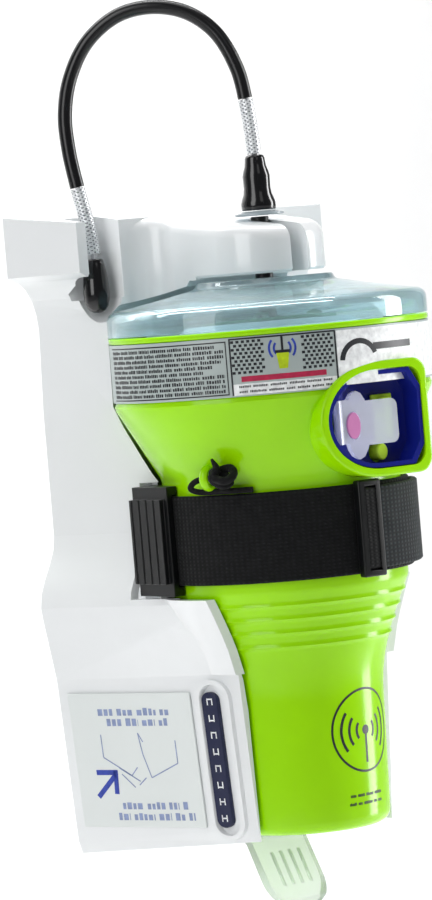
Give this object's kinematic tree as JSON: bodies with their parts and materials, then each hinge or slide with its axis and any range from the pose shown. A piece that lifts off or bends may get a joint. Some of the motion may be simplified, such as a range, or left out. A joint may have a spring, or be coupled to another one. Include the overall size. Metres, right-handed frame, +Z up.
{
  "type": "emergency position beacon",
  "caption": "Floating distress beacon with clear strobe dome and whip antenna, strapped into a wall bracket with a stow slot for the antenna tip and a push-down release tab.",
  "frame": {"origin": "middle of the bracket's flat back, on the wall", "axes": "+Z up, +Y into the wall, so the beacon stands out toward -Y; +X is the right-hand side for someone facing it"},
  "size_m": [0.118, 0.107, 0.297],
  "materials": {
    "lime_plastic": "gloss",
    "white_plastic": "gloss",
    "black_plastic": "satin",
    "black_rubber": "satin",
    "webbing": "woven",
    "clear_plastic": "polished",
    "lilac_plastic": "polished",
    "pink_plastic": "satin",
    "navy_plastic": "gloss",
    "label": "satin",
    "reflective_braid": "retroreflective",
    "board": "satin",
    "tinned_steel": "satin",
    "steel_core": "satin",
    "magnet": "matt",
    "antenna_patch": "matt",
    "cell_sleeve": "gloss"
  },
  "bodies": {
    "bracket_and_beacon": {"bracket_shell": "white_plastic", "name_strip_left": "navy_plastic", "name_strip_right": "navy_plastic", "instruction_plate": "white_plastic", "bracket_magnet": "magnet", "lower_housing": "lime_plastic", "dome_lens": "clear_plastic", "dome_seal": "black_rubber", "label_band": "label", "chassis": "white_plastic", "strobe_board": "board", "strobe_led_1": "clear_plastic", "strobe_led_2": "clear_plastic", "strobe_led_3": "clear_plastic", "strobe_led_4": "clear_plastic", "gps_patch": "antenna_patch", "main_board": "board", "radio_shield": "tinned_steel", "reed_switch": "tinned_steel", "battery_cradle": "black_plastic", "battery_cell_1": "cell_sleeve", "battery_cell_2": "cell_sleeve", "battery_cell_3": "cell_sleeve", "battery_cell_4": "cell_sleeve", "water_contact_1": "tinned_steel", "water_contact_2": "tinned_steel", "antenna_stem": "black_plastic", "antenna_flange": "clear_plastic", "antenna_boot": "black_rubber", "antenna_core": "steel_core", "reflective_sleeve_base": "reflective_braid", "antenna_whip": "black_rubber", "reflective_sleeve_tip": "reflective_braid", "antenna_tip_cap": "black_rubber", "switch_tray": "navy_plastic", "strap_band": "webbing", "strap_ring": "black_plastic", "strap_fold": "webbing", "strap_keeper": "black_plastic", "lanyard_knot": "webbing", "lanyard_cord": "webbing"},
    "release_tab": {"release_tab": "clear_plastic"},
    "switch_guard": {"switch_guard": "lilac_plastic", "guard_spot": "pink_plastic"},
    "switch_slider": {"switch_slider": "lime_plastic"},
    "test_button": {"test_button": "lime_plastic"},
    "strap_end": {"strap_tail": "webbing"}
  },
  "joints": [
    {"name": "tab_flex", "type": "hinge", "parent": "bracket_and_beacon", "child": "release_tab", "pos_m": [0, -0.0285, -0.1017], "axis": [1, 0, 0], "range_deg": [0, 25], "stiffness_Nm_per_rad": 0.3},
    {"name": "guard_swing", "type": "hinge", "parent": "bracket_and_beacon", "child": "switch_guard", "pos_m": [-0.009, -0.1042, 0.031], "axis": [0, 0, -1], "range_deg": [0, 106]},
    {"name": "switch_travel", "type": "slide", "parent": "bracket_and_beacon", "child": "switch_slider", "axis": [-1, 0, 0], "range_m": [0, 0.012]},
    {"name": "test_press", "type": "slide", "parent": "bracket_and_beacon", "child": "test_button", "axis": [0, 1, 0], "range_m": [0, 0.0012], "stiffness_N_per_m": 400},
    {"name": "strap_end_peel", "type": "hinge", "parent": "bracket_and_beacon", "child": "strap_end", "pos_m": [0.00598, -0.10309, -0.0025], "axis": [0, 0, -1], "range_deg": [0, 60]}
  ]
}
